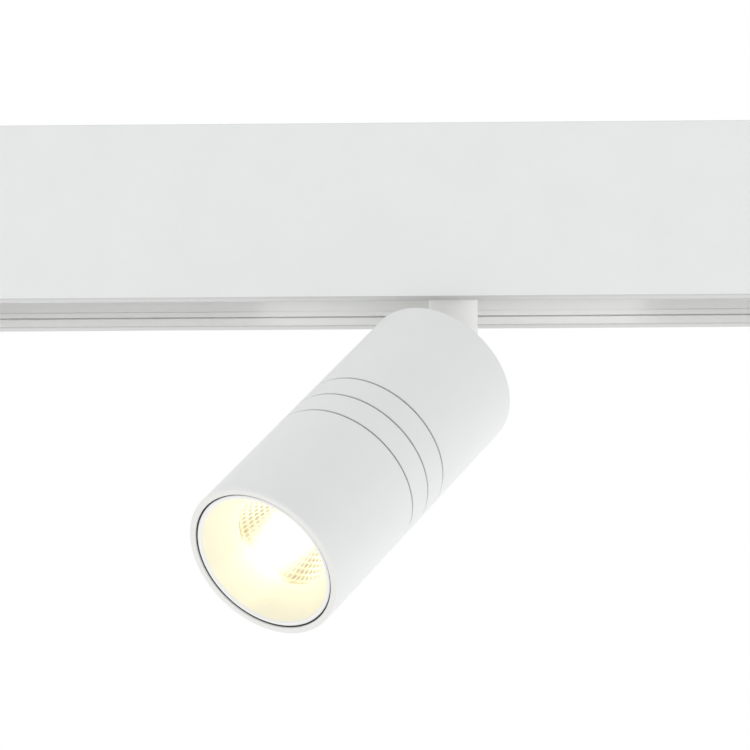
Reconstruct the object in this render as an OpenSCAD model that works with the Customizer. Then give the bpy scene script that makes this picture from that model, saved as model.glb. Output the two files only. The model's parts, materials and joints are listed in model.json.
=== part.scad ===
// Magnetic-track spotlight: a short length of low-voltage track, the adapter that
// runs in it, a turning stem, and a tilting cylindrical lamp head.
// Millimetres. +Z is up, +X runs along the track, -Y is the front.
// The origin is the centre of the track's top face, which lies against the ceiling.

/* [Track] */
// Length of the track profile
track_len = 296; // [260:2:400]
// Width of the track profile
track_w = 26.5; // [26:0.1:28]
// Height of the track profile
track_h = 53; // [52.5:0.1:54]
// Distance between the two ceiling screws
screw_pitch = 200; // [120:5:220]

/* [Adapter] */
// Length of the adapter
adapter_len = 110; // [108:1:120]
// Width of the adapter
adapter_w = 20.2; // [19.5:0.1:20.2]

/* [Lamp head] */
// Outer diameter of the head
head_d = 45.5; // [45:0.1:46]
// Length of the head, rim to rear edge
head_len = 95; // [94:0.5:100]
// Distance between two of the three lines round the head
line_pitch = 8.3; // [6:0.1:9]

/* [Aim] */
// Turn of the head about the stem, from the front towards the left
pan = 44.6; // [0:0.1:90]
// Tilt of the head away from straight down
tilt = 44.5; // [0:0.5:55]

/* [Hidden] */
$fn = 96;
eps = 0.01;           // overlap that joins two solids
gap = 0.05;           // running clearance

// Screws: radius of the thread and of the head
small_screw_r = 0.8;
small_head_r = 1.5;
cover_screw_r = 1;
clevis_screw_r = 1.2;
clevis_head_r = 2.2;

// Track section
web_t = 2.4;          // top web
wall_in = 10.75;      // half width of the channel
lip_in = 10.25;       // half width between the bottom lips
lip_h = 2.5;          // height of a bottom lip
undercut = 0.5;       // depth of the shadow groove above a lip
groove_h = 0.6;       // its height
band_h = 1.4;         // height of the guide band above the groove
band_t = 0.25;        // how far the band stands out
outer_corner = 0.4;   // chamfer along the top edges and round the end plates
lower_corner = 0.3;   // chamfer along the bottom edges
bead = 0.6;           // ledge that holds an insulator up
strip_inset = 4;      // from the profile's end to the end of the steel strip and the insulators
steel_w = 8.4;
steel_t = 1;
contact_y = 6.6;      // centre of a conductor and of its contact pin
copper_w = 2;
copper_t = 0.5;
copper_z = -3.4;      // underside of a conductor
insulator_z = -3.9;   // underside of an insulator
ceiling_hole_r = 2.25;
screw_clear_r = 3.6;  // hole for a ceiling screw in the steel strip
feed_x = 139;         // centre of the cable inlet
feed_r = 4.5;         // hole in the web
grommet_r = 3.2;      // hole in the grommet
grommet_lip = 0.25;   // how far the grommet's lip stands out
grommet_lip_t = 1.1;  // its thickness
terminal_low = [feed_x - 5.5, -9.6, -13.5];
terminal_high = [feed_x + 5, 9.6, insulator_z];
terminal_screw_r = 0.75;
terminal_entry_r = 3.4;
cap_t = 2;            // end plate
plug_len = 3.5;       // its plug, and the plug's walls
plug_fit = 0.15;
plug_wall = 1.85;

// Adapter
adapter_top = -4;
adapter_bottom = -44.8;
floor_t = 2;
shell_t = 1.5;
cover_t = 1.8;
cover_z = adapter_top - cover_t;
cover_rim_in = 2.8;   // inner face of the rim under the lid, from the case's outside
cover_rim_h = 1;
floor_z = adapter_bottom + floor_t;
magnet = [18, 7.4, 3.2];
magnet_x = 35;
magnet_top = -3.45;
magnet_wall = 1.2;    // wall of the pocket round a magnet
contact_x = 15;
contact_block_size = [10, 16.6, 8.4];
contact_slot = [3.5, -12];  // half width and floor of the slot between the two guides
pin_r = 0.9;
pin_hole_r = 1.1;
pin_flange_r = 1.3;
pin_flange_t = 0.8;
pin_flange_z = -8;
spring_bore_r = 1.5;
spring_low = -13.1;   // floor of the springs' bores
spring_r = 1.05;
spring_wire_r = 0.17;
board_z = -20;        // underside of the driver board
board_t = 1.6;
board_size = [92, 16];
board_post = [42, 5];
board_post_r = 1.9;
part_gap = 0.02;      // solder film between the board and what it carries
inductor_x = -24;
inductor_core_r = 2.6;
inductor_h = 5.5;
capacitor_r = 3.2;
capacitor_h = 11;
cover_post_x = 50;
cover_post_r = 2.8;

// Stem and swivel
stem_r = 6.9;
stem_bore_r = 1.7;
flange_r = 8.3;
flange_t = 1.5;
washer_t = 0.6;
flange_z = floor_z + washer_t + gap;
retainer_z = flange_z + flange_t + 1.2;
retainer_t = 1.4;
retainer_size = [31, 14.8];
retainer_hub_r = 6.2; // boss that holds the flange down
retainer_hole_r = 4;
retainer_bolt = [12.5, 5];
retainer_post_r = 2;
stop_tab = 0.35;      // half width of the fixed stop
stop_ring_r = 7.3;
stop_pin_r = 0.55;
pivot_z = -67.85;
tongue_x = 3.5;       // half thickness of the tongue
tongue_r = 6.5;
shoulder_z = 7.2;     // pivot to the stem's round part
ear_in = 3.9;         // inner and outer faces of a clevis ear
ear_out = 6.9;
ear_r = 6.4;
trunnion_r = 2.5;
trunnion_head_r = 3.6;
trunnion_head_t = 1.2;
trunnion_tip_r = 1.5;
trunnion_tip_x = 2;   // where a shoulder screw's tip ends

// Head, measured from the pivot along the head; "s" runs back from the front rim
head_r = head_d / 2;
head_back = 8.2;      // pivot to the rear edge of the tube
rear_z = -head_back - 1;   // outer face of the rear cap
bore_r = 20.9;
fit_r = 20.85;        // what sits in the bore
line_1 = 40.2;        // first line round the head
line_2 = line_1 + line_pitch;
line_3 = line_2 + line_pitch;
line_w = 0.7;         // width of a line at the surface
line_floor = 0.3;     // width of its floor
line_d = 0.7;         // its depth
line_edge = 0.1;      // softened edge beside it
inner_edge = 0.1;     // softened edge inside the rim
rim_round = 0.5;
cap_thick = 3;        // rear cap
clevis_base_r = 9.5;
clevis_base_t = 1.8;
clevis_bolt_y = 7;
cable_hole_r = 2.2;
sink_s = 36;          // LED side of the heat sink
sink_base = 6;
sink_end = 78;
sink_core_r = 7;
sink_sleeve_in = 19.4;
fin_n = 16;
fin_t = 1.2;
fin_r = 19.8;
sink_bolt_x = 4;      // screws of the lamp's terminal
sink_bolt_head_r = 1.8;
sink_bolt_head_t = 1.2;
holder_bolt_y = 9.5;  // screws of the LED holder
holder_bolt_head_r = 1.6;
holder_bolt_s = 33.3; // where their heads bear
holder_r = 13;
holder_s = 32.2;
holder_window_r = 5.4;
pad_s = 35.6;         // back of the LED board, which the thermal pad fills up to the heat sink
pad_half = 7;
led_board_s = 34.6;
led_board_half = 6.75;
emitter_s = 34.2;
emitter_r = 4.6;
baffle_in = 13.6;      // inner radius where the baffle meets the lens
baffle_mouth = 19.2;   // inner radius of its lip
baffle_out = 20.45;
baffle_s = 0.35;       // front of its lip
baffle_sleeve = [17.5, 9];  // inner radius and front of the space for the optic's sleeve
lens_s = 10.25;
lens_t = 1.6;
lens_r = 15.5;
lens_fit = 0.15;
optic_r = 17.2;        // sleeve round the reflector
optic_bore_r = 15.65;
optic_ledge_r = 15;    // ledge that the lens and the reflector's rim rest on
bowl_rear_s = 31.9;    // rear edge of the reflector
bowl_rear_r = 6;
bowl_front_r = 14;
bowl_wall = 0.8;
rim_t = 1;             // reflector's rim
seal_s = [0.5, 2.6];   // front and back of the black ring
seal_fit = 0.02;
lead_x = 11;
lead_r = 0.6;
terminal_half = [13, 3.4];  // lamp terminal
term_s = 81;           // floor of its wire entries
term_end = 86;
cable_r = 1.3;

// ---------- helpers ----------

// Box given by its low and high corners
module span(a, b) { translate(a) cube([b[0] - a[0], b[1] - a[1], b[2] - a[2]]); }

// Upright cylinder from z0 to z1
module post(x, y, r, z0, z1) { translate([x, y, z0]) cylinder(r = r, h = z1 - z0); }

// Repeats what is drawn at the four places (+-x, +-y)
module corners(place) {
    for (sx = [-1, 1], sy = [-1, 1]) translate([sx * place[0], sy * place[1], 0]) children();
}

// Ring from z0 to z1
module ring(r_in, r_out, z0, z1) {
    difference() {
        post(0, 0, r_out, z0, z1);
        post(0, 0, r_in, z0 - 1, z1 + 1);
    }
}

// A bar of a given Y-Z outline along X
module extrude_x(x0, x1) {
    translate([x0, 0, 0]) rotate([90, 0, 90]) linear_extrude(height = x1 - x0) children();
}

// Countersunk screw, head up at z, shaft down
module screw(x, y, z, r, len) {
    translate([x, y, 0]) difference() {
        union() {
            translate([0, 0, z - r]) cylinder(r1 = r, r2 = 2 * r, h = r);
            post(0, 0, r, z - len, z - r + eps);
        }
        translate([0, 0, z - r * 0.7]) cylinder(r = r * 0.7, h = r, $fn = 6);
    }
}

// The hole that such a screw sits in
module screw_hole(x, y, z, r, len) {
    translate([x, y, 0]) {
        translate([0, 0, z - r]) cylinder(r1 = r + gap, r2 = 2 * r + gap, h = r + eps);
        post(0, 0, r + gap, z - len, z - r + eps);
    }
}

// Places what is drawn about the pivot, head straight down, at the aimed position
module aim_head() { translate([0, 0, pivot_z]) rotate([0, 0, -pan]) rotate([-tilt, 0, 0]) children(); }

// Places what turns with the stem
module aim_stem() { rotate([0, 0, -pan]) children(); }

// Height in head coordinates of a place s back from the rim
function zs(s) = -head_back - head_len + s;

// Ring of the head between two distances from the rim
module head_ring(r_in, r_out, s0, s1) { ring(r_in, r_out, zs(s0), zs(s1)); }

// A turned solid of the head: points are [radius, distance from the rim]
module head_turned(points) {
    rotate_extrude() polygon([for (p = points) [p[0], zs(p[1])]]);
}

// Spring wire: a helix swept as a closed polyhedron
function helix_at(t, r, z0, z1, turns) =
    [r * cos(360 * turns * t), r * sin(360 * turns * t), z0 + (z1 - z0) * t];
module coil_spring(r, wire, z0, z1, turns) {
    rings = turns * 12;
    sides = 6;
    points = [for (i = [0 : rings])
        let (t = i / rings, c = helix_at(t, r, z0, z1, turns), a = 360 * turns * t)
            for (j = [0 : sides - 1]) let (b = 360 * j / sides)
                c + wire * [cos(b) * cos(a), cos(b) * sin(a), sin(b)]];
    faces = concat(
        [[for (j = [0 : sides - 1]) j]],
        [for (i = [0 : rings - 1], j = [0 : sides - 1]) let (low = i * sides, high = low + sides)
            [low + j, high + j, high + (j + 1) % sides, low + (j + 1) % sides]],
        [[for (j = [sides - 1 : -1 : 0]) rings * sides + j]]);
    polyhedron(points, faces);
}

// ---------- track ----------

// Half of the channel outline, wall on +Y: bead under the insulator, guide band, shadow groove, lip
module wall_outline() {
    w = track_w / 2;
    lip_top = -track_h + lip_h;
    band_low = lip_top + groove_h;
    polygon([
        [-1, 0], [w - outer_corner, 0], [w, -outer_corner],
        [w, -track_h + lower_corner], [w - lower_corner, -track_h],
        [lip_in + 0.2, -track_h], [lip_in, -track_h + 0.2], [lip_in, lip_top],
        [wall_in + undercut, lip_top], [wall_in + undercut, band_low],
        [wall_in - band_t, band_low], [wall_in - band_t, band_low + band_h],
        [wall_in, band_low + band_h + 0.3],
        [wall_in, insulator_z - 0.8], [wall_in - bead, insulator_z - 0.6],
        [wall_in - bead, insulator_z - 0.05], [wall_in, insulator_z - 0.05],
        [wall_in, -web_t], [-1, -web_t]
    ]);
}

module track_profile() {
    color("white") difference() {
        extrude_x(-track_len / 2, track_len / 2) {
            wall_outline();
            mirror([1, 0]) wall_outline();
        }
        for (side = [-1, 1]) post(side * screw_pitch / 2, 0, ceiling_hole_r, -5, 1);
        post(feed_x, 0, feed_r, -5, 1);
    }
}

module steel_strip() {
    color("silver") difference() {
        span([-track_len / 2 + strip_inset, -steel_w / 2, -web_t - steel_t],
            [feed_x - feed_r - 3, steel_w / 2, -web_t]);
        for (side = [-1, 1]) post(side * screw_pitch / 2, 0, screw_clear_r, -5, 0);
    }
}

// Plastic strip that carries one conductor, on +Y
module insulator() {
    difference() {
        span([-track_len / 2 + strip_inset, steel_w / 2 + 0.2, insulator_z],
            [track_len / 2 - strip_inset, wall_in - gap, -web_t]);
        span([-track_len, contact_y - copper_w / 2, copper_z],
            [track_len, contact_y + copper_w / 2, copper_z + copper_t]);
        span([-track_len, contact_y - copper_w / 2 + 0.2, insulator_z - 1],
            [track_len, contact_y + copper_w / 2 - 0.2, copper_z + eps]);
        post(feed_x, 0, feed_r + 0.3, -5, 0);
    }
}
module insulator_front() { color("gainsboro") mirror([0, 1, 0]) insulator(); }
module insulator_rear() { color("gainsboro") insulator(); }

module conductor() {
    end = track_len / 2 - strip_inset - 1;
    span([-end, contact_y - copper_w / 2, copper_z], [end, contact_y + copper_w / 2, copper_z + copper_t]);
}
module conductor_front() { color("peru") mirror([0, 1, 0]) conductor(); }
module conductor_rear() { color("peru") conductor(); }

// End plate with a plug that sits in the channel, on +X
module end_cap() {
    w = track_w / 2;
    x = track_len / 2;
    c = outer_corner;
    y = lip_in - plug_fit;
    extrude_x(x, x + cap_t)
        polygon([[-w + c, 0], [w - c, 0], [w, -c], [w, -track_h + c], [w - c, -track_h],
            [-w + c, -track_h], [-w, -track_h + c], [-w, -c]]);
    difference() {
        span([x - plug_len, -y, -track_h + 0.8], [x + eps, y, -8]);
        span([x - plug_len - 1, -y + plug_wall, -track_h + 3], [x, y - plug_wall, -10]);
    }
}
module end_cap_left() { color("white") mirror([1, 0, 0]) end_cap(); }
module end_cap_right() { color("white") end_cap(); }

module feed_terminal() {
    color("gainsboro") difference() {
        span(terminal_low, terminal_high);
        post(feed_x, 0, feed_r + 0.4, -5.5, 0);
        post(feed_x, 0, terminal_entry_r, -9, 0);
        for (side = [-1, 1]) translate([feed_x, side * contact_y, terminal_low[2]]) mirror([0, 0, 1])
            screw_hole(0, 0, 0, terminal_screw_r, 12);
    }
}
// Driven from below until their tips bear on the conductors
module feed_terminal_screws() {
    color("silver") for (side = [-1, 1])
        translate([feed_x, side * contact_y, terminal_low[2]]) mirror([0, 0, 1])
            screw(0, 0, 0, terminal_screw_r, copper_z - terminal_low[2]);
}
module feed_grommet() {
    color("dimgray") difference() {
        union() {
            post(feed_x, 0, feed_r, -web_t, 0);
            post(feed_x, 0, feed_r + grommet_lip, -web_t - grommet_lip_t, -web_t);
        }
        post(feed_x, 0, grommet_r, -6, 1);
    }
}

// ---------- adapter ----------

module adapter_body() {
    x = adapter_len / 2;
    y = adapter_w / 2;
    color("white") difference() {
        union() {
            difference() {
                span([-x, -y, adapter_bottom], [x, y, cover_z]);
                span([-x + shell_t, -y + shell_t, floor_z], [x - shell_t, y - shell_t, cover_z + 1]);
            }
            for (sx = [-1, 1]) post(sx * cover_post_x, 0, cover_post_r, floor_z - eps, cover_z - 1.1);
            corners(board_post) post(0, 0, board_post_r, floor_z - eps, board_z);
            corners(retainer_bolt) post(0, 0, retainer_post_r, floor_z - eps, retainer_z);
        }
        post(0, 0, stem_r + gap, adapter_bottom - 1, floor_z + 1);
        for (sx = [-1, 1]) post(sx * cover_post_x, 0, cover_screw_r + gap, cover_z - 9, cover_z);
        corners(board_post) post(0, 0, small_screw_r + gap, board_z - 5, board_z + 1);
        corners(retainer_bolt) post(0, 0, small_screw_r + gap, floor_z - 0.5, retainer_z + 1);
    }
}

// Block at a magnet's place, larger than the magnet by a margin all round
module magnet_block(side, margin, z0, z1) {
    x = magnet[0] / 2 + margin;
    y = magnet[1] / 2 + margin;
    translate([side * magnet_x, 0, 0]) span([-x, -y, z0], [x, y, z1]);
}

module adapter_cover() {
    x = adapter_len / 2;
    y = adapter_w / 2;
    color("white") difference() {
        union() {
            span([-x, -y, cover_z], [x, y, adapter_top]);
            difference() {
                span([-x + shell_t + 0.1, -y + shell_t + 0.1, cover_z - cover_rim_h],
                    [x - shell_t - 0.1, y - shell_t - 0.1, cover_z + eps]);
                span([-x + cover_rim_in, -y + cover_rim_in, cover_z - 2],
                    [x - cover_rim_in, y - cover_rim_in, cover_z]);
                span([contact_x - contact_block_size[0] / 2 - 0.2, -y, cover_z - 2],
                    [contact_x + contact_block_size[0] / 2 + 0.2, y, cover_z]);
            }
            for (sx = [-1, 1])
                magnet_block(sx, magnet_wall, magnet_top - magnet[2] - magnet_wall, cover_z + eps);
        }
        for (sx = [-1, 1]) {
            magnet_block(sx, gap, magnet_top - magnet[2], 0);
            screw_hole(sx * cover_post_x, 0, adapter_top, cover_screw_r, 9);
        }
        for (sy = [-1, 1]) post(contact_x, sy * contact_y, pin_hole_r, cover_z - 1, 0);
    }
}

module adapter_cover_screws() {
    color("silver") for (sx = [-1, 1]) screw(sx * cover_post_x, 0, adapter_top, cover_screw_r, 8);
}

module magnets() {
    color("silver") for (sx = [-1, 1]) magnet_block(sx, 0, magnet_top - magnet[2], magnet_top);
}

module contact_block() {
    x = contact_block_size[0] / 2;
    y = contact_block_size[1] / 2;
    color("gainsboro") difference() {
        span([contact_x - x, -y, cover_z - contact_block_size[2]], [contact_x + x, y, cover_z]);
        for (sy = [-1, 1]) post(contact_x, sy * contact_y, spring_bore_r, spring_low - 0.1, 0);
        span([contact_x - x - 1, -contact_slot[0], contact_slot[1]],
            [contact_x + x + 1, contact_slot[0], cover_z + 1]);
    }
}

// Sprung pin whose round tip bears on a conductor, on +Y
module contact_pin() {
    translate([contact_x, contact_y, 0]) {
        post(0, 0, pin_r, pin_flange_z - eps, copper_z - pin_r);
        translate([0, 0, copper_z - pin_r]) sphere(r = pin_r);
        post(0, 0, pin_flange_r, pin_flange_z - pin_flange_t, pin_flange_z);
    }
}
module contact_pin_front() { color("gold") mirror([0, 1, 0]) contact_pin(); }
module contact_pin_rear() { color("gold") contact_pin(); }
module contact_spring() {
    translate([contact_x, contact_y, 0])
        coil_spring(spring_r, spring_wire_r, spring_low + 0.25, pin_flange_z - pin_flange_t - 0.25, 5);
}
module contact_spring_front() { color("silver") mirror([0, 1, 0]) contact_spring(); }
module contact_spring_rear() { color("silver") contact_spring(); }

module driver_board() {
    color("seagreen") difference() {
        span([-board_size[0] / 2, -board_size[1] / 2, board_z],
            [board_size[0] / 2, board_size[1] / 2, board_z + board_t]);
        post(0, 0, cable_r + 0.3, board_z - 1, board_z + 3);
        corners(board_post) post(0, 0, small_screw_r + 0.1, board_z - 1, board_z + 3);
    }
}
module driver_board_screws() {
    top = board_z + board_t;
    color("silver") corners(board_post) {
        post(0, 0, small_screw_r, board_z - 4, top + eps);
        post(0, 0, small_head_r, top, top + 1.2);
    }
}
module driver_inductor() {
    low = board_z - 1 - inductor_h;
    color("dimgray") translate([inductor_x, 0, 0]) {
        ring(inductor_core_r, 5.6, low, board_z - 1);
        post(0, 0, inductor_core_r, low, board_z - part_gap);
        ring(inductor_core_r, 6, board_z - 1, board_z - part_gap);
    }
}
module driver_capacitors() {
    color("steelblue") for (x = [-36, 26, 35])
        post(x, 0, capacitor_r, board_z - capacitor_h, board_z - part_gap);
}
module driver_chips() {
    above = board_z + board_t + part_gap;
    color("dimgray") {
        span([-15, -2.5, above], [-9, 2.5, above + 1.38]);
        span([12, -2, board_z - 1.6], [17, 2, board_z - part_gap]);
        for (x = [22, 26, 30]) span([x, 4, above], [x + 2, 5.2, above + 0.78]);
    }
}

// ---------- swivel ----------

module pan_washer() { color("ivory") ring(stem_r + 0.1, flange_r, floor_z, floor_z + washer_t); }

// Bridge over the stem's flange, with the fixed end stop below it at the back
module pan_retainer() {
    x = retainer_size[0] / 2;
    y = retainer_size[1] / 2;
    color("silver") difference() {
        union() {
            span([-x, -y, retainer_z], [x, y, retainer_z + retainer_t]);
            post(0, 0, retainer_hub_r, flange_z + flange_t + gap, retainer_z + eps);
            span([-stop_tab, stop_ring_r - 0.7, retainer_z - 1],
                [stop_tab, stop_ring_r + 0.1, retainer_z + eps]);
        }
        post(0, 0, retainer_hole_r, retainer_z - 2, retainer_z + 3);
        corners(retainer_bolt) post(0, 0, small_screw_r + 0.1, retainer_z - 1, retainer_z + 3);
    }
}
module pan_retainer_screws() {
    top = retainer_z + retainer_t;
    color("silver") corners(retainer_bolt) {
        post(0, 0, small_screw_r, floor_z - 0.4, top + eps);
        post(0, 0, small_head_r, top, top + 1);
    }
}

// Hollow stem: flange in the adapter, round post, and a forked tongue on the pivot
module stem() {
    color("white") aim_stem() difference() {
        union() {
            post(0, 0, flange_r, flange_z, flange_z + flange_t);
            post(0, 0, stem_r, pivot_z + shoulder_z, flange_z + eps);
            intersection() {
                union() {
                    span([-tongue_x, -tongue_r, pivot_z], [tongue_x, tongue_r, pivot_z + shoulder_z + eps]);
                    translate([0, 0, pivot_z]) rotate([0, 90, 0])
                        translate([0, 0, -tongue_x]) cylinder(r = tongue_r, h = 2 * tongue_x);
                }
                post(0, 0, stem_r, pivot_z - 10, pivot_z + 10);
            }
        }
        post(0, 0, stem_bore_r, pivot_z - 10, floor_z + 20);
        translate([0, 0, pivot_z]) extrude_x(-stem_bore_r, stem_bore_r)
            polygon([[-2, 2], [2, 2], [9, -3.2], [9, -9], [-9, -9], [-9, -3.2]]);
        translate([-10, 0, pivot_z]) rotate([0, 90, 0]) cylinder(r = trunnion_tip_r, h = 20);
        post(0, -stop_ring_r, stop_pin_r, flange_z + 0.4, flange_z + 3);
    }
}
module pan_stop_pin() {
    color("silver") aim_stem() post(0, -stop_ring_r, stop_pin_r, flange_z + 0.4, flange_z + flange_t + 0.9);
}
module stem_cable() { color("white") post(0, 0, cable_r, pivot_z + 1.2, board_z - 0.3); }

// Shoulder screws that the clevis turns on
module tilt_screws() {
    color("silver") translate([0, 0, pivot_z]) aim_stem() for (side = [0, 1]) mirror([side, 0, 0])
        difference() {
            rotate([0, 90, 0]) {
                translate([0, 0, trunnion_tip_x]) cylinder(r = trunnion_tip_r, h = 3);
                translate([0, 0, tongue_x + gap]) cylinder(r = trunnion_r, h = ear_out - tongue_x - 0.2);
                translate([0, 0, ear_out - trunnion_head_t])
                    cylinder(r = trunnion_head_r, h = trunnion_head_t);
            }
            translate([ear_out - 0.8, 0, 0]) rotate([0, 90, 0]) cylinder(r = 1.4, h = 2, $fn = 6);
        }
}
module tilt_washers() {
    color("ivory") translate([0, 0, pivot_z]) aim_stem() for (side = [0, 1]) mirror([side, 0, 0])
        rotate([0, 90, 0]) ring(trunnion_r + gap, 6, tongue_x + 0.02, ear_in - 0.03);
}

// ---------- head ----------

module clevis() {
    color("white") aim_head() difference() {
        union() {
            post(0, 0, clevis_base_r, rear_z, rear_z + clevis_base_t);
            for (side = [0, 1]) mirror([side, 0, 0]) {
                span([ear_in, -ear_r, rear_z + 1], [ear_out, ear_r, 0]);
                rotate([0, 90, 0]) translate([0, 0, ear_in]) cylinder(r = ear_r, h = ear_out - ear_in);
            }
        }
        post(0, 0, cable_hole_r, rear_z - 1, -5);
        for (side = [-1, 1]) post(0, side * clevis_bolt_y, clevis_screw_r + gap, rear_z - 1, rear_z + 1.4);
        for (side = [0, 1]) mirror([side, 0, 0]) rotate([0, 90, 0]) {
            cylinder(r = trunnion_r + gap, h = 20);
            translate([0, 0, ear_out - trunnion_head_t - 0.1]) cylinder(r = trunnion_head_r + 0.1, h = 5);
        }
    }
}
module clevis_screws() {
    color("silver") aim_head() for (side = [-1, 1]) {
        post(0, side * clevis_bolt_y, clevis_screw_r, rear_z - cap_thick - eps, rear_z + 1.3);
        post(0, side * clevis_bolt_y, clevis_head_r, rear_z - cap_thick - 1.6, rear_z - cap_thick);
    }
}

module rear_cap() {
    color("white") aim_head() difference() {
        post(0, 0, fit_r, rear_z - cap_thick, rear_z);
        post(0, 0, cable_hole_r, -20, 0);
        for (side = [-1, 1]) post(0, side * clevis_bolt_y, clevis_screw_r + 0.1, -20, 0);
    }
}

// Section of a line cut in the surface: its front half and its back half, from the rim backwards
function line_front(s) = [
    [head_r, s - line_w / 2 - line_edge], [head_r - line_edge / 2, s - line_w / 2],
    [head_r - line_d, s - line_floor / 2]
];
function line_back(s) = [
    [head_r - line_d, s + line_floor / 2], [head_r - line_edge / 2, s + line_w / 2],
    [head_r, s + line_w / 2 + line_edge]
];

// The two tubes meet at the middle line
module rear_tube() {
    color("white") aim_head() head_turned(concat(
        [[bore_r, line_2], [head_r - line_d, line_2]], line_back(line_2),
        line_front(line_3), line_back(line_3),
        [[head_r, head_len - rim_round], [head_r - 0.15, head_len - 0.15], [head_r - rim_round, head_len],
            [bore_r + 0.3, head_len], [bore_r, head_len - 0.3]]
    ));
}
module front_tube() {
    color("white") aim_head() head_turned(concat(
        [[bore_r + inner_edge, 0]],
        [for (a = [0 : 15 : 90]) [head_r - rim_round + rim_round * sin(a), rim_round - rim_round * cos(a)]],
        line_front(line_1), line_back(line_1), line_front(line_2),
        [[head_r - line_d, line_2], [bore_r, line_2], [bore_r, inner_edge]]
    ));
}

module heat_sink() {
    color("silver") aim_head() difference() {
        union() {
            post(0, 0, fit_r, zs(sink_s), zs(sink_s + sink_base));
            head_ring(sink_sleeve_in, fit_r, sink_s + sink_base - 1, line_3 + 4);
            post(0, 0, sink_core_r, zs(sink_s + 1), zs(sink_end));
            for (i = [0 : fin_n - 1]) rotate([0, 0, (i + 0.5) * 360 / fin_n])
                span([sink_core_r - 1, -fin_t / 2, zs(sink_s + sink_base - 1)],
                    [fin_r, fin_t / 2, zs(sink_end)]);
        }
        for (side = [-1, 1]) {
            post(side * lead_x, 0, lead_r + 0.3, zs(sink_s - 1), zs(sink_s + sink_base + 2));
            post(0, side * holder_bolt_y, small_screw_r + gap, zs(sink_s - 1), zs(sink_s + 5));
            post(side * sink_bolt_x, 0, cover_screw_r + gap, zs(sink_end - 6), zs(sink_end + 1));
        }
    }
}
module heat_sink_screws() {
    color("silver") aim_head() for (side = [-1, 1]) {
        post(side * sink_bolt_x, 0, cover_screw_r, zs(sink_end - 5), zs(term_s + 1.5) + eps);
        post(side * sink_bolt_x, 0, sink_bolt_head_r, zs(term_s + 1.5), zs(term_s + 1.5 + sink_bolt_head_t));
    }
}
module lamp_terminal() {
    color("gainsboro") aim_head() difference() {
        span([-terminal_half[0], -terminal_half[1], zs(sink_end + 0.2)],
            [terminal_half[0], terminal_half[1], zs(term_end)]);
        for (side = [-1, 1]) {
            post(side * lead_x, 0, lead_r + 0.1, zs(sink_end - 1), zs(term_s + 2.1));
            post(side * sink_bolt_x, 0, cover_screw_r + gap, zs(sink_end - 1), zs(term_s + 1.6));
            post(side * sink_bolt_x, 0, sink_bolt_head_r + 0.1, zs(term_s + 1.5), zs(term_end + 1));
        }
        post(0, 0, cable_r + 0.1, zs(term_s + 2), zs(term_end + 1));
    }
}
module lamp_leads() {
    color("firebrick") aim_head() for (side = [-1, 1])
        post(side * lead_x, 0, lead_r, zs(emitter_s), zs(term_s + 2));
}
module head_cable() { color("white") aim_head() post(0, 0, cable_r, zs(term_s + 2.2), -1.5); }

// Square plate of the light source between two distances from the rim
module led_plate(half, s0, s1) { span([-half, -half, zs(s0)], [half, half, zs(s1)]); }

module thermal_pad() { color("gray") aim_head() led_plate(pad_half, pad_s, sink_s); }
module led_board() { color("gainsboro") aim_head() led_plate(led_board_half, led_board_s, pad_s); }
module led_emitter() { color("khaki") aim_head() post(0, 0, emitter_r, zs(emitter_s), zs(led_board_s)); }
module led_holder() {
    through = sink_s + 1;
    color("white") aim_head() difference() {
        post(0, 0, holder_r, zs(holder_s), zs(sink_s));
        post(0, 0, holder_window_r, zs(holder_s - 1), zs(through));
        led_plate(pad_half + 0.1, led_board_s - 0.2, through);
        for (side = [-1, 1]) {
            post(side * lead_x, 0, lead_r + 0.1, zs(emitter_s - 0.1), zs(through));
            post(0, side * holder_bolt_y, small_screw_r + 0.1, zs(holder_s - 1), zs(through));
            post(0, side * holder_bolt_y, holder_bolt_head_r + 0.2, zs(holder_s - 1), zs(holder_bolt_s));
        }
    }
}
module led_holder_screws() {
    color("silver") aim_head() for (side = [-1, 1]) {
        post(0, side * holder_bolt_y, small_screw_r, zs(holder_bolt_s) - eps, zs(sink_s + 4));
        post(0, side * holder_bolt_y, holder_bolt_head_r, zs(holder_bolt_s - 1), zs(holder_bolt_s));
    }
}

// Sleeve that locates the reflector and the lens on the heat sink
module optic_holder() {
    ledge = lens_s + lens_t + rim_t + 0.1;
    color("white") aim_head() head_turned([
        [lens_r + lens_fit, lens_s], [optic_r, lens_s], [optic_r, sink_s], [optic_bore_r, sink_s],
        [optic_bore_r, ledge + 1.2], [optic_ledge_r, ledge + 1.2], [optic_ledge_r, ledge],
        [lens_r + lens_fit, ledge]
    ]);
}

// Bowl from the LED holder to the lens; the curve is a parabola
function bowl_r(s) = bowl_rear_r
    + (bowl_front_r - bowl_rear_r) * sqrt((bowl_rear_s - s) / (bowl_rear_s - (lens_s + lens_t)));
module reflector() {
    front = lens_s + lens_t + 0.05;
    last = 12;
    rows = [for (i = [0 : last]) front + (bowl_rear_s - front) * i / last];
    color("silver") aim_head() head_turned(concat(
        [for (s = rows) [bowl_r(s), s]],
        [[bowl_rear_r + bowl_wall, bowl_rear_s]],
        [for (i = [last - 1 : -1 : 1]) [bowl_r(rows[i]) + bowl_wall, rows[i]]],
        [[bowl_r(rows[1]) + bowl_wall, front + rim_t], [lens_r, front + rim_t], [lens_r, front]]
    ));
}
module lens() {
    color("lightcyan") aim_head() post(0, 0, lens_r, zs(lens_s), zs(lens_s + lens_t));
}

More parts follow.
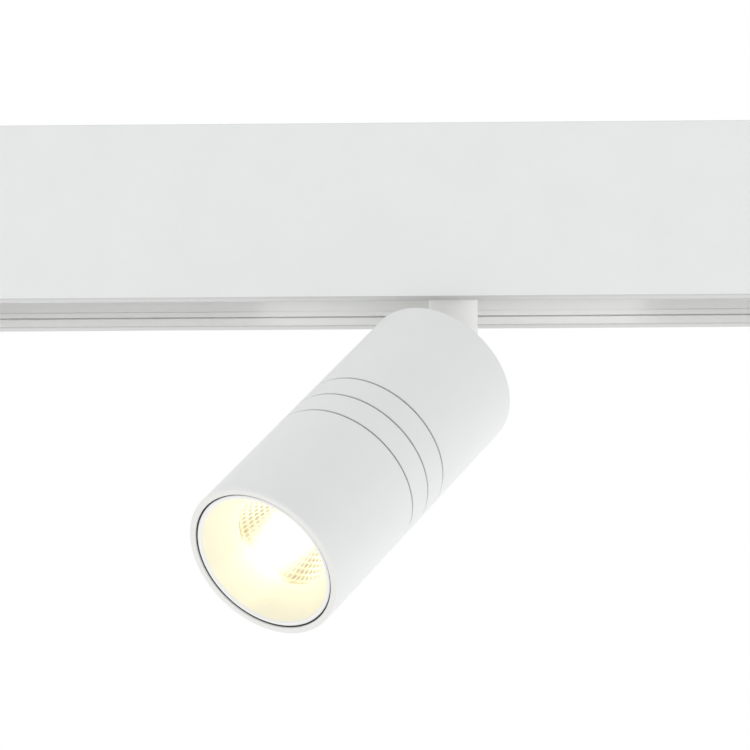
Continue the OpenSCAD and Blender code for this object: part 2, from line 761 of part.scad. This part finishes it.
module front_baffle() {
    back = lens_s - 0.05;
    color("white") aim_head() head_turned([
        [baffle_mouth, baffle_s + 0.3], [baffle_mouth + 0.3, baffle_s], [baffle_out - 0.2, baffle_s],
        [baffle_out, baffle_s + 0.2], [baffle_out, baffle_sleeve[1]], baffle_sleeve,
        [baffle_sleeve[0], back], [baffle_in, back]
    ]);
}
module baffle_seal() {
    color("black") aim_head() head_ring(baffle_out + seal_fit, bore_r - seal_fit, seal_s[0], seal_s[1]);
}

track_profile();
steel_strip();
insulator_front();
insulator_rear();
conductor_front();
conductor_rear();
end_cap_left();
end_cap_right();
feed_terminal();
feed_terminal_screws();
feed_grommet();
adapter_body();
adapter_cover();
adapter_cover_screws();
magnets();
contact_block();
contact_pin_front();
contact_pin_rear();
contact_spring_front();
contact_spring_rear();
driver_board();
driver_board_screws();
driver_inductor();
driver_capacitors();
driver_chips();
pan_washer();
pan_retainer();
pan_retainer_screws();
stem();
pan_stop_pin();
stem_cable();
tilt_screws();
tilt_washers();
clevis();
clevis_screws();
rear_cap();
rear_tube();
front_tube();
heat_sink();
heat_sink_screws();
lamp_terminal();
lamp_leads();
head_cable();
thermal_pad();
led_board();
led_emitter();
led_holder();
led_holder_screws();
optic_holder();
reflector();
lens();
front_baffle();
baffle_seal();
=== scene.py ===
"""Looks of the track spotlight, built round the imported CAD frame.

Metres; +Z up, +X along the track, -Y towards the front.
"""

import json
import math

import bmesh
import bpy
from mathutils import Matrix, Vector


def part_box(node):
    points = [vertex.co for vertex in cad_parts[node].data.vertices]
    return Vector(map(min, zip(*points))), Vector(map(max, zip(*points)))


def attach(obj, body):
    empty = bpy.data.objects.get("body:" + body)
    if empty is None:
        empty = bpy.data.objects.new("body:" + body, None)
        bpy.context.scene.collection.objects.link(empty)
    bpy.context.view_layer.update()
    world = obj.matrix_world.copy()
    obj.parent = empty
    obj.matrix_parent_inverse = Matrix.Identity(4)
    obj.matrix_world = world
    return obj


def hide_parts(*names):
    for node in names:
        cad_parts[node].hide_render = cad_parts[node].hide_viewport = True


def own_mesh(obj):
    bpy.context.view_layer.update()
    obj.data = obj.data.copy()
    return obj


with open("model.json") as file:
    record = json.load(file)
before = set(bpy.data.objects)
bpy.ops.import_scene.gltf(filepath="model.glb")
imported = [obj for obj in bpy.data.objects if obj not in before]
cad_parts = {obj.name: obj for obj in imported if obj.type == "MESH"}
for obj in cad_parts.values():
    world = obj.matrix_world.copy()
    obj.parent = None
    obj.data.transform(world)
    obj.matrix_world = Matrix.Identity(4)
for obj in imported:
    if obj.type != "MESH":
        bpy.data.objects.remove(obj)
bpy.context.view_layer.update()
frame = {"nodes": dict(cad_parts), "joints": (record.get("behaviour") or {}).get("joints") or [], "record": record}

MM = 0.001
NODES = frame["nodes"]
RECORD = frame["record"]
JOINTS = {joint["name"]: joint for joint in frame["joints"]}
SLOT_OF = {entry["node"]: entry["material_slot"] for entry in RECORD["subparts"]}
BODY_OF = {node: body for body, nodes in RECORD["behaviour"]["bodies"].items() for node in nodes}

# Camera: what it looks at, how far off, and from where
LOOK_AT = Vector((-0.0221, 0.0, -0.0714))
CAMERA_DISTANCE = 1.1247
CAMERA_AZIMUTH = math.radians(1.1)
CAMERA_ELEVATION = math.radians(-19.3)
CAMERA_LENS_MM = 192
SENSOR_MM = 36
CLIP_NEAR, CLIP_FAR = 0.05, 50

# Floor and surroundings
FLOOR_DROP = 2.3                 # floor below the ceiling face
FLOOR_SIZE = 40
FLOOR_GLOW = 0.39                # light added by the floor
LIGHT_LEVEL = 0.84               # light from all round
LIGHT_LEAN = (-0.23, 0.13, 0.0)  # how much more comes from +X, +Y and +Z

# The lamp's own light
WARM = (1.0, 0.88, 0.46)         # painted on the cone as glow
LED_COLOUR = (1.0, 0.92, 0.74)
LED_STRENGTH = 40.0

# Powder coat, and light and shade painted on it
COAT_WHITE = (0.87, 0.88, 0.88)
PAINTED_LIGHT_INSIDE = (0.89, 0.89, 0.88)  # painted light inside the track's channel
PAINTED_SHADE_EDGE = (0.57, 0.575, 0.57)   # painted shade along the track's bottom edges
# painted light: the stem's coat is lighter than the rest
PAINTED_LIGHT_STEM = (0.97, 0.97, 0.96)
PAINTED_SHADE_LINES = (0.42, 0.43, 0.43)    # painted shade in the floors of the lines round the head
PAINTED_SHADE_RIM = (0.75, 0.75, 0.73)     # painted shade on the head's front rim

# Optic
# painted lamp light: the cone's cream colour
PAINTED_LAMPLIGHT_CONE = (0.8, 0.78, 0.66)
LIP_WHITE = (0.82, 0.82, 0.8)
FACET_EDGE = (0.93, 0.9, 0.8)
# painted shade in the hollow of each facet
PAINTED_SHADE_FACET = (0.3, 0.26, 0.13)

SMOOTH_ANGLE = math.radians(32)


# ---------- places taken from the frame ----------

def centre(node):
    low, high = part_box(node)
    return (low + high) / 2


PIVOT = Vector(JOINTS["tilt"]["pos_m"])
AIM = (centre("lens") - PIVOT).normalized()
HINGE = Vector(JOINTS["tilt"]["axis"]).normalized()
# The painted lamp light is strongest in a band across the bowl, turned from the hinge by this much
BAND_TURN = math.radians(-20.6)
BAND_EDGE = (4.5 * MM, 9 * MM)  # half width of the band at full strength, and where it ends
BAND_NORMAL = Matrix.Rotation(BAND_TURN, 3, -AIM) @ (-AIM).cross(HINGE)
# Head coordinates: origin at the pivot, -Z along the beam, X along the hinge
HEAD_AXES = Matrix((HINGE, (-AIM).cross(HINGE), -AIM)).transposed()
HEAD = Matrix.Translation(PIVOT) @ HEAD_AXES.to_4x4()


def reach(node):
    """Nearest and farthest distance of a node from the pivot, along the beam."""
    depths = [(vertex.co - PIVOT).dot(AIM) for vertex in NODES[node].data.vertices]
    return min(depths), max(depths)


def width(node):
    """Largest distance of a node from the head's axis."""
    return max((vertex.co - PIVOT).cross(AIM).length for vertex in NODES[node].data.vertices)


# ---------- shader nodes ----------

def new_material(name):
    material = bpy.data.materials.new(name)
    material.use_nodes = True
    return material, material.node_tree, material.node_tree.nodes["Principled BSDF"]


def object_coordinates(tree, scale=(1, 1, 1)):
    """Object-space coordinates in metres, stretched by scale."""
    coordinates = tree.nodes.new("ShaderNodeTexCoord")
    mapping = tree.nodes.new("ShaderNodeMapping")
    mapping.inputs["Scale"].default_value = scale
    tree.links.new(coordinates.outputs["Object"], mapping.inputs["Vector"])
    return mapping.outputs["Vector"]


def noise(tree, vector, per_metre, detail=2.0, roughness=0.5):
    texture = tree.nodes.new("ShaderNodeTexNoise")
    texture.inputs["Scale"].default_value = per_metre
    texture.inputs["Detail"].default_value = detail
    texture.inputs["Roughness"].default_value = roughness
    tree.links.new(vector, texture.inputs["Vector"])
    return texture.outputs["Fac"]


def remap(tree, value, low, high, start=0.3, end=0.7):
    """Sends start..end of a value to low..high."""
    node = tree.nodes.new("ShaderNodeMapRange")
    node.inputs["From Min"].default_value = start
    node.inputs["From Max"].default_value = end
    node.inputs["To Min"].default_value = low
    node.inputs["To Max"].default_value = high
    tree.links.new(value, node.inputs["Value"])
    return node.outputs["Result"]


def blend_colours(tree, factor, first, second):
    node = tree.nodes.new("ShaderNodeMix")
    node.data_type = "RGBA"
    tree.links.new(factor, node.inputs["Factor"])
    node.inputs["A"].default_value = (*first, 1)
    node.inputs["B"].default_value = (*second, 1)
    return node.outputs["Result"]


def overlay(material, factor, colour):
    """Lays a second colour over a material's own where the factor is 1."""
    tree = material.node_tree
    base = tree.nodes["Principled BSDF"].inputs["Base Color"]
    mix = tree.nodes.new("ShaderNodeMix")
    mix.data_type = "RGBA"
    tree.links.new(factor, mix.inputs["Factor"])
    tree.links.new(base.links[0].from_socket, mix.inputs["A"])
    mix.inputs["B"].default_value = (*colour, 1)
    tree.links.new(mix.outputs["Result"], base)


def arithmetic(tree, operation, first, second=None):
    """A number worked out from a socket and, where it takes two, another socket or a number."""
    node = tree.nodes.new("ShaderNodeMath")
    node.operation = operation
    tree.links.new(first, node.inputs[0])
    if isinstance(second, float):
        node.inputs[1].default_value = second
    elif second is not None:
        tree.links.new(second, node.inputs[1])
    return node.outputs["Value"]


def vector_math(tree, operation, vector, fixed=None):
    """Outputs of a vector operation on a socket and, where it takes two, a fixed vector."""
    node = tree.nodes.new("ShaderNodeVectorMath")
    node.operation = operation
    tree.links.new(vector, node.inputs[0])
    if fixed is not None:
        node.inputs[1].default_value = fixed
    return node.outputs


def offset_from(tree, origin):
    """A point's place relative to an origin, both in the coordinates of the rest pose."""
    coordinates = tree.nodes.new("ShaderNodeTexCoord")
    return vector_math(tree, "SUBTRACT", coordinates.outputs["Object"], origin)["Vector"]


def distance_along(tree, origin, direction):
    return vector_math(tree, "DOT_PRODUCT", offset_from(tree, origin), direction)["Value"]


def distance_from_beam(tree):
    """Distance of a point from the head's axis."""
    # The cross product with a unit vector is as long as the distance from that line
    cross = vector_math(tree, "CROSS_PRODUCT", offset_from(tree, PIVOT), AIM)["Vector"]
    return vector_math(tree, "LENGTH", cross)["Value"]


def depth_ramp(tree, node, stops):
    """Colours along a node's depth: stops are (fraction of the depth from the rear, colour)."""
    near, far = reach(node)
    ramp = tree.nodes.new("ShaderNodeValToRGB")
    elements = ramp.color_ramp.elements
    while len(elements) < len(stops):
        elements.new(0.5)
    for element, (place, colour) in zip(elements, stops):
        element.position = place
        element.color = (*colour, 1)
    fraction = remap(tree, distance_along(tree, PIVOT, AIM), 0, 1, near, far)
    tree.links.new(fraction, ramp.inputs["Fac"])
    return ramp.outputs["Color"]


def bump(tree, shader, height, depth):
    node = tree.nodes.new("ShaderNodeBump")
    node.inputs["Strength"].default_value = 1.0
    node.inputs["Distance"].default_value = depth
    tree.links.new(height, node.inputs["Height"])
    tree.links.new(node.outputs["Normal"], shader.inputs["Normal"])


def glow(material, node, colour, peak, stops, beside):
    """Painted lamp light on a node, an emission strongest in a band across it.

    stops are (fraction of the node's depth from the rear, fraction of the peak strength);
    beside is the part of it that is left at the sides of the band.
    """
    tree = material.node_tree
    shader = tree.nodes["Principled BSDF"]
    levels = depth_ramp(tree, node, [(place, (level,) * 3) for place, level in stops])
    across = arithmetic(tree, "ABSOLUTE", distance_along(tree, PIVOT, BAND_NORMAL))
    band = remap(tree, across, 1, beside, *BAND_EDGE)
    strength = arithmetic(tree, "MULTIPLY", levels, band)
    tree.links.new(remap(tree, strength, 0, peak, 0, 1), shader.inputs["Emission Strength"])
    shader.inputs["Emission Color"].default_value = (*colour, 1)


# ---------- materials ----------

def shade(colour, factor):
    return tuple(min(1.0, channel * factor) for channel in colour)


def finish_material(
    name, colour, rough, metal=0.0, grain=900, grain_depth=0.01 * MM, stretch=(1, 1, 1),
    variation=0.03, rough_spread=0.06, coat=0.0,
):
    """A surface with broad colour variation, uneven gloss and a fine raised grain.

    grain is its fineness per metre, and stretch lengthens it where it is below 1.
    """
    material, tree, shader = new_material(name)
    broad = noise(tree, object_coordinates(tree), 60, detail=3.0)
    fine = noise(tree, object_coordinates(tree, stretch), grain, detail=3.0, roughness=0.6)
    dark, light = shade(colour, 1 - variation), shade(colour, 1 + variation / 2)
    tones = blend_colours(tree, remap(tree, broad, 0, 1), dark, light)
    gloss = remap(tree, fine, rough - rough_spread, rough + rough_spread)
    tree.links.new(tones, shader.inputs["Base Color"])
    tree.links.new(gloss, shader.inputs["Roughness"])
    shader.inputs["Metallic"].default_value = metal
    shader.inputs["Coat Weight"].default_value = coat
    bump(tree, shader, fine, grain_depth)
    return material


def powder_coat(name, colour):
    return finish_material(name, colour, 0.52, grain=2600, grain_depth=0.035 * MM, variation=0.012)


def track_material():
    """Powder coat, with painted light inside the channel and painted shade along the bottom edges."""
    material = powder_coat("track_powder_coat_painted_light_and_shade", COAT_WHITE)
    tree = material.node_tree
    low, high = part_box("track_profile")
    inner_face, fade = high.y - 1.8 * MM, 0.1 * MM  # inner face of the walls
    across = arithmetic(tree, "ABSOLUTE", distance_along(tree, (low + high) / 2, (0, 1, 0)))
    inside = remap(tree, across, 1, 0, inner_face - fade, inner_face + fade)
    # Painted light: the inside of the channel is whiter than the coat
    overlay(material, inside, PAINTED_LIGHT_INSIDE)
    # Painted shade: the bottom edges are greyer than the coat
    edge_top, edge_end = 0.25 * MM, 0.4 * MM
    at_bottom = remap(tree, distance_along(tree, low, (0, 0, 1)), 1, 0, edge_top, edge_end)
    overlay(material, at_bottom, PAINTED_SHADE_EDGE)
    return material


def head_material():
    """Powder coat, with painted shade in the lines round the head and on its rim."""
    material = powder_coat("head_powder_coat_painted_shade", COAT_WHITE)
    tree = material.node_tree
    surface, rim = width("front_tube"), reach("front_tube")[1]
    from_axis = distance_from_beam(tree)
    below = remap(tree, from_axis, 1, 0, surface - 0.4 * MM, surface - 0.15 * MM)
    # The tubes meet in the middle line, and the others lie within 11 mm of it
    middle_line = PIVOT + reach("rear_tube")[1] * AIM
    from_middle = arithmetic(tree, "ABSOLUTE", distance_along(tree, middle_line, AIM))
    near_lines = remap(tree, from_middle, 1, 0, 11 * MM, 12 * MM)
    # Painted shade in the floors of the lines
    overlay(material, arithmetic(tree, "MULTIPLY", below, near_lines), PAINTED_SHADE_LINES)
    depth = distance_along(tree, PIVOT, AIM)
    on_rim = remap(tree, depth, 0, 1, rim - 0.35 * MM, rim - 0.1 * MM)
    # Painted shade on the head's front rim
    overlay(material, on_rim, PAINTED_SHADE_RIM)
    return material


def baffle_material():
    """Satin cone with painted lamp light: cream and glowing where the lamp lights it, and white on its lip."""
    cone_end, lip_start = 0.94, 0.97  # fractions of the depth
    material = finish_material(
        "cream_baffle", PAINTED_LAMPLIGHT_CONE, 0.45, grain=1800, grain_depth=0.008 * MM)
    tree = material.node_tree
    # Painted lamp light: cream on the cone, the lip's own white at the front
    colours = ((0.0, PAINTED_LAMPLIGHT_CONE), (cone_end, PAINTED_LAMPLIGHT_CONE), (lip_start, LIP_WHITE))
    tones = depth_ramp(tree, "front_baffle", colours)
    tree.links.new(tones, tree.nodes["Principled BSDF"].inputs["Base Color"])
    stops = ((0.0, 1.0), (0.3, 0.5), (0.6, 0.3), (cone_end, 0.2), (lip_start, 0.0))
    # Painted lamp light: an emission on the cone
    glow(material, "front_baffle", WARM, 0.8, stops, beside=0.5)
    return material


def reflector_material():
    """Bright metallised plastic, with painted shade in the hollow of each facet and painted lamp light near the
    lamp.
    """
    material = finish_material(
        "bright_reflector", FACET_EDGE, 0.09, metal=1.0, grain_depth=0.002 * MM,
        rough_spread=0.03)
    tree = material.node_tree
    hollow = tree.nodes.new("ShaderNodeAttribute")
    hollow.attribute_name = "hollow"
    # Painted shade in the hollow of each facet
    tones = blend_colours(tree, hollow.outputs["Fac"], FACET_EDGE, PAINTED_SHADE_FACET)
    tree.links.new(tones, tree.nodes["Principled BSDF"].inputs["Base Color"])
    stops = ((0.0, 1.0), (0.5, 0.8), (1.0, 0.5))
    # Painted lamp light and reflection: an emission on the bowl
    glow(material, "reflector", LED_COLOUR, 1.6, stops, beside=0.02)
    return material


def led_material():
    """Phosphor disc: a lit grid of domes."""
    domes_per_metre = 1100
    material, tree, shader = new_material("led_glow")
    cells = tree.nodes.new("ShaderNodeTexVoronoi")
    cells.inputs["Scale"].default_value = domes_per_metre
    tree.links.new(object_coordinates(tree), cells.inputs["Vector"])
    tones = blend_colours(tree, cells.outputs["Distance"], (1.0, 0.9, 0.62), (1.0, 0.74, 0.32))
    tree.links.new(tones, shader.inputs["Base Color"])
    shader.inputs["Roughness"].default_value = 0.3
    shader.inputs["Emission Color"].default_value = (*LED_COLOUR, 1)
    shader.inputs["Emission Strength"].default_value = LED_STRENGTH
    return material


def lens_material():
    """Clear moulded plastic, faintly rippled."""
    ripples_per_metre = 500
    material, tree, shader = new_material("clear_lens")
    shader.inputs["Base Color"].default_value = (1.0, 0.98, 0.93, 1)
    shader.inputs["Roughness"].default_value = 0.06
    shader.inputs["IOR"].default_value = 1.49
    shader.inputs["Alpha"].default_value = 0.16
    ripple = noise(tree, object_coordinates(tree), ripples_per_metre)
    bump(tree, shader, ripple, 0.004 * MM)
    return material


# Slots with a plain finish: colour, roughness, and what else finish_material is told
PLASTICS = {
    "white_plastic": (
        (0.86, 0.86, 0.85), 0.42, {"grain": 1500, "grain_depth": 0.012 * MM, "variation": 0.02}),
    "grey_plastic": ((0.55, 0.55, 0.54), 0.45, {"grain": 1500}),
    "bearing_plastic": ((0.8, 0.75, 0.6), 0.38, {"grain": 900}),
    "dark_rubber": ((0.018, 0.018, 0.018), 0.7, {"grain": 2200, "variation": 0.2}),
    "thermal_grey": ((0.3, 0.31, 0.33), 0.6, {"grain": 1100, "variation": 0.08}),
    "green_board": ((0.02, 0.17, 0.08), 0.3, {"grain": 500, "variation": 0.25, "coat": 0.4}),
    "led_board_white": ((0.82, 0.82, 0.78), 0.32, {"grain": 900}),
    "dark_component": ((0.03, 0.03, 0.035), 0.55, {"grain": 1800, "variation": 0.2}),
    "capacitor_sleeve": (
        (0.03, 0.06, 0.2), 0.25, {"grain": 300, "variation": 0.15, "coat": 0.3}),
    "cable_jacket": ((0.78, 0.78, 0.76), 0.4, {"grain": 1300, "coat": 0.1}),
    "lead_insulation": ((0.5, 0.02, 0.015), 0.35, {"grain": 1200, "coat": 0.2}),
}
METALS = {
    "copper": (
        (0.83, 0.42, 0.25), 0.28, {"grain": 900, "stretch": (0.02, 1, 1), "variation": 0.12}),
    "zinc_steel": (
        (0.62, 0.63, 0.65), 0.36, {"grain": 700, "stretch": (0.05, 1, 1), "variation": 0.1}),
    "screw_steel": ((0.6, 0.6, 0.6), 0.3, {"grain": 2200, "variation": 0.08}),
    "nickel": ((0.72, 0.7, 0.66), 0.2, {"grain": 500, "variation": 0.05}),
    "gold_plate": ((0.9, 0.66, 0.28), 0.24, {"grain": 2500, "variation": 0.06}),
    "raw_aluminium": ((0.72, 0.73, 0.75), 0.34, {"grain": 1600, "variation": 0.06}),
}


def build_materials():
    """One material for each slot of the record."""
    materials = {
        "white_powder_coat": powder_coat("white_powder_coat", COAT_WHITE),
        "cream_baffle": baffle_material(),
        "bright_reflector": reflector_material(),
        "led_glow": led_material(),
        "clear_lens": lens_material(),
    }
    for finishes, metal in ((PLASTICS, 0.0), (METALS, 1.0)):
        for slot, (colour, rough, more) in finishes.items():
            materials[slot] = finish_material(slot, colour, rough, metal=metal, **more)
    return materials


MATERIALS = build_materials()


def dress(obj, slot):
    obj.data.materials.clear()
    obj.data.materials.append(MATERIALS[slot])


def soften_shading(mesh):
    """Smooth over curved faces, sharp at real edges."""
    mesh.shade_smooth()
    mesh.set_sharp_from_angle(angle=SMOOTH_ANGLE)


# ---------- mesh helpers ----------

def piece_from(name, mesh, place=None):
    """Links a new mesh, its normals turned outwards, as an object placed by a matrix."""
    work = bmesh.new()
    work.from_mesh(mesh)
    bmesh.ops.recalc_face_normals(work, faces=work.faces)
    work.to_mesh(mesh)
    work.free()
    if place is not None:
        mesh.transform(place)
    obj = bpy.data.objects.new(name, mesh)
    bpy.context.scene.collection.objects.link(obj)
    soften_shading(mesh)
    return obj


def stand_in(name, mesh, node, place=None):
    """A finer piece that takes a CAD node's place, body and material slot."""
    obj = piece_from(name, mesh, place)
    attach(obj, BODY_OF[node])
    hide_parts(node)
    dress(obj, SLOT_OF[node])
    return obj


def turned_mesh(name, profile, columns, relief):
    """A closed ring turned about Z from a closed outline of (radius, z) points.

    relief(ring, column) gives how far a point moves away from the axis.
    """
    rings = len(profile)
    points = []
    for ring, (radius, z) in enumerate(profile):
        for column in range(columns):
            angle = 2 * math.pi * column / columns
            r = radius + relief(ring, column)
            points.append((r * math.cos(angle), r * math.sin(angle), z))
    faces = []
    for ring in range(rings):
        after = (ring + 1) % rings
        for column in range(columns):
            beside = (column + 1) % columns
            faces.append((
                ring * columns + column, ring * columns + beside,
                after * columns + beside, after * columns + column))
    mesh = bpy.data.meshes.new(name)
    mesh.from_pydata(points, [], faces)
    return mesh


def swept_mesh(name, path, wire, sides=10):
    """A round wire of radius wire along a list of points, closed at both ends."""
    points, faces = [], []
    for index, point in enumerate(path):
        before, after = path[max(index - 1, 0)], path[min(index + 1, len(path) - 1)]
        along = (after - before).normalized()
        side = along.cross(Vector((0, 0, 1))).normalized()
        up = side.cross(along)
        for step in range(sides):
            angle = 2 * math.pi * step / sides
            points.append(point + wire * (math.cos(angle) * side + math.sin(angle) * up))
    for index in range(len(path) - 1):
        for step in range(sides):
            beside = (step + 1) % sides
            low, high = index * sides, (index + 1) * sides
            faces.append((low + step, low + beside, high + beside, high + step))
    faces.append(tuple(range(sides)))
    faces.append(tuple(reversed(range((len(path) - 1) * sides, len(path) * sides))))
    mesh = bpy.data.meshes.new(name)
    mesh.from_pydata(points, [], faces)
    return mesh


def helix(middle, radius, low, high, turns, closed_turns=0.0):
    """Points of a coil on a vertical axis; closed_turns at each end lie flat."""
    points_per_turn = 28
    count = int(turns * points_per_turn)
    points = []
    for index in range(count + 1):
        turn = turns * index / count
        rise = min(max((turn - closed_turns) / (turns - 2 * closed_turns), 0), 1)
        angle = 2 * math.pi * turn
        points.append(Vector((
            middle.x + radius * math.cos(angle), middle.y + radius * math.sin(angle),
            low + (high - low) * rise)))
    return points


# ---------- CAD nodes that keep their shape ----------

def dress_cad_nodes():
    for name, obj in NODES.items():
        dress(obj, SLOT_OF[name])
        soften_shading(obj.data)
    NODES["track_profile"].data.materials[0] = track_material()
    # Painted light: the stem's coat is whiter than the rest of the coat
    NODES["stem"].data.materials[0] = powder_coat("stem_powder_coat_painted_light", PAINTED_LIGHT_STEM)
    head_coat = head_material()
    for name in ("front_tube", "rear_tube"):
        NODES[name].data.materials[0] = head_coat


# ---------- finer pieces ----------

def reflector():
    """Bowl with rows of small hollow facets on its inner face."""
    facet_rows, facet_columns = 16, 62
    cuts = 4  # mesh steps across a facet
    wall, flange, hollow = 0.8 * MM, 1.0 * MM, 0.16 * MM
    rear_radius, front_radius = 6.0 * MM, 14.0 * MM
    flange_radius = width("reflector")
    near, far = reach("reflector")
    spread, depth = front_radius - rear_radius, far - near

    # The bowl's radius grows with the root of its depth. Even steps of radius keep
    # the facets about square.
    inner_count = facet_rows * cuts
    inner = []
    for step in range(inner_count + 1):
        fraction = step / inner_count
        inner.append((rear_radius + spread * fraction, -(near + depth * fraction ** 2)))
    flange_back = -(far - flange)
    outer = [
        (flange_radius, -far), (flange_radius, flange_back), (front_radius + wall, flange_back)]
    for fraction in (0.9, 0.75, 0.6, 0.45, 0.3, 0.18, 0.08, 0.02):
        radius = rear_radius + spread * math.sqrt(fraction)
        outer.append((radius + wall, -(near + depth * fraction)))
    outer.append((rear_radius + wall, -near))

    def facet_relief(ring, column):
        if ring >= inner_count:
            return 0
        across = (column % cuts) / cuts * 2 - 1
        up = (ring % cuts) / cuts * 2 - 1
        return hollow * (1 - across ** 2) * (1 - up ** 2)

    columns = facet_columns * cuts
    mesh = turned_mesh("reflector_facets", inner + outer, columns, facet_relief)
    depths = mesh.attributes.new("hollow", "FLOAT", "POINT")
    for index, entry in enumerate(depths.data):
        entry.value = facet_relief(index // columns, index % columns) / hollow
    return stand_in("reflector_facets", mesh, "reflector", HEAD)


def lens():
    """Clear disc whose back carries rings of shallow domes."""
    rings, columns = 30, 96
    dome, dome_pitch, domes_round = 0.12 * MM, 2.2 * MM, 12
    near, far = reach("lens")
    radius = width("lens")
    work = bmesh.new()
    layers = []
    for z, relief in ((-far, 0.0), (-near, dome)):
        layer = [[work.verts.new((0, 0, z))]]
        for ring in range(1, rings + 1):
            r = radius * ring / rings
            row = []
            for column in range(columns):
                angle = 2 * math.pi * column / columns
                wave = math.cos(2 * math.pi * r / dome_pitch) * math.cos(domes_round * angle)
                lift = relief * max(wave, 0) if ring < rings else 0
                row.append(work.verts.new((r * math.cos(angle), r * math.sin(angle), z - lift)))
            layer.append(row)
        layers.append(layer)
    for layer in layers:
        for column in range(columns):
            beside = (column + 1) % columns
            work.faces.new((layer[0][0], layer[1][column], layer[1][beside]))
            for ring in range(1, rings):
                low, high = layer[ring], layer[ring + 1]
                work.faces.new((low[column], high[column], high[beside], low[beside]))
    for column in range(columns):
        beside = (column + 1) % columns
        front, back = layers[0][rings], layers[1][rings]
        work.faces.new((front[column], front[beside], back[beside], back[column]))
    mesh = bpy.data.meshes.new("lens_domed")
    work.to_mesh(mesh)
    work.free()
    return stand_in("lens_domed", mesh, "lens", HEAD)


def contact_spring(side):
    """Round-wire spring under a contact pin."""
    node, name = "contact_spring_" + side, "spring_coil_" + side
    low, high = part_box(node)
    middle = centre(node)
    wire = 0.17 * MM
    radius = (high.x - low.x) / 2 - wire
    path = helix(middle, radius, low.z + wire, high.z - wire, turns=6.5, closed_turns=0.8)
    spring = stand_in(name, swept_mesh(name, path, wire), node)
    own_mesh(spring)


def inductor_winding():
    """Enamelled wire round the inductor's waist, between its flanges."""
    wire, inset = 0.3 * MM, 0.35 * MM
    above_foot, below_top = 0.6 * MM, 1.7 * MM
    low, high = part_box("driver_inductor")
    radius = (high.x - low.x) / 2 - inset
    path = helix(
        centre("driver_inductor"), radius, low.z + above_foot, high.z - below_top, turns=7.0)
    winding = piece_from("inductor_winding", swept_mesh("inductor_winding", path, wire, sides=8))
    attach(winding, BODY_OF["driver_inductor"])
    dress(winding, "copper")


# ---------- studio ----------

def add_floor():
    bpy.ops.mesh.primitive_plane_add(size=FLOOR_SIZE, location=(0, 0, -FLOOR_DROP))
    floor = bpy.context.object
    floor.name = "floor"
    material, tree, shader = new_material("floor_paper")
    mottle = noise(tree, object_coordinates(tree), 3)
    tones = blend_colours(tree, mottle, (0.86, 0.86, 0.86), (0.9, 0.9, 0.9))
    tree.links.new(tones, shader.inputs["Base Color"])
    shader.inputs["Roughness"].default_value = 0.9
    shader.inputs["Emission Color"].default_value = (1, 1, 1, 1)
    shader.inputs["Emission Strength"].default_value = FLOOR_GLOW
    floor.data.materials.append(material)


def add_world():
    """White surroundings, whose light leans by direction, as between large soft screens."""
    world = bpy.data.worlds.new("studio")
    bpy.context.scene.world = world
    world.use_nodes = True
    tree = world.node_tree
    direction = tree.nodes.new("ShaderNodeTexCoord").outputs["Generated"]
    lean = vector_math(tree, "DOT_PRODUCT", direction, LIGHT_LEAN)["Value"]
    strength = arithmetic(tree, "ADD", lean, LIGHT_LEVEL)
    light = tree.nodes["Background"]
    light.inputs["Color"].default_value = (1, 1, 1, 1)
    seen = tree.nodes.new("ShaderNodeBackground")
    seen.inputs["Color"].default_value = (1, 1, 1, 1)
    path = tree.nodes.new("ShaderNodeLightPath")
    mix = tree.nodes.new("ShaderNodeMixShader")
    tree.links.new(strength, light.inputs["Strength"])
    tree.links.new(path.outputs["Is Camera Ray"], mix.inputs["Fac"])
    tree.links.new(light.outputs["Background"], mix.inputs[1])
    tree.links.new(seen.outputs["Background"], mix.inputs[2])
    tree.links.new(mix.outputs["Shader"], tree.nodes["World Output"].inputs["Surface"])


def add_camera():
    data = bpy.data.cameras.new("camera")
    data.lens = CAMERA_LENS_MM
    data.sensor_width = SENSOR_MM
    data.clip_start, data.clip_end = CLIP_NEAR, CLIP_FAR
    camera = bpy.data.objects.new("camera", data)
    bpy.context.scene.collection.objects.link(camera)
    back = Vector((
        math.sin(CAMERA_AZIMUTH) * math.cos(CAMERA_ELEVATION),
        -math.cos(CAMERA_AZIMUTH) * math.cos(CAMERA_ELEVATION),
        math.sin(CAMERA_ELEVATION)))
    camera.location = LOOK_AT + back * CAMERA_DISTANCE
    camera.rotation_euler = (-back).to_track_quat("-Z", "Y").to_euler()
    bpy.context.scene.camera = camera


add_camera()
dress_cad_nodes()
reflector()
lens()
for side in ("front", "rear"):
    contact_spring(side)
inductor_winding()
add_floor()
add_world()
bpy.context.scene.view_settings.view_transform = "Standard"
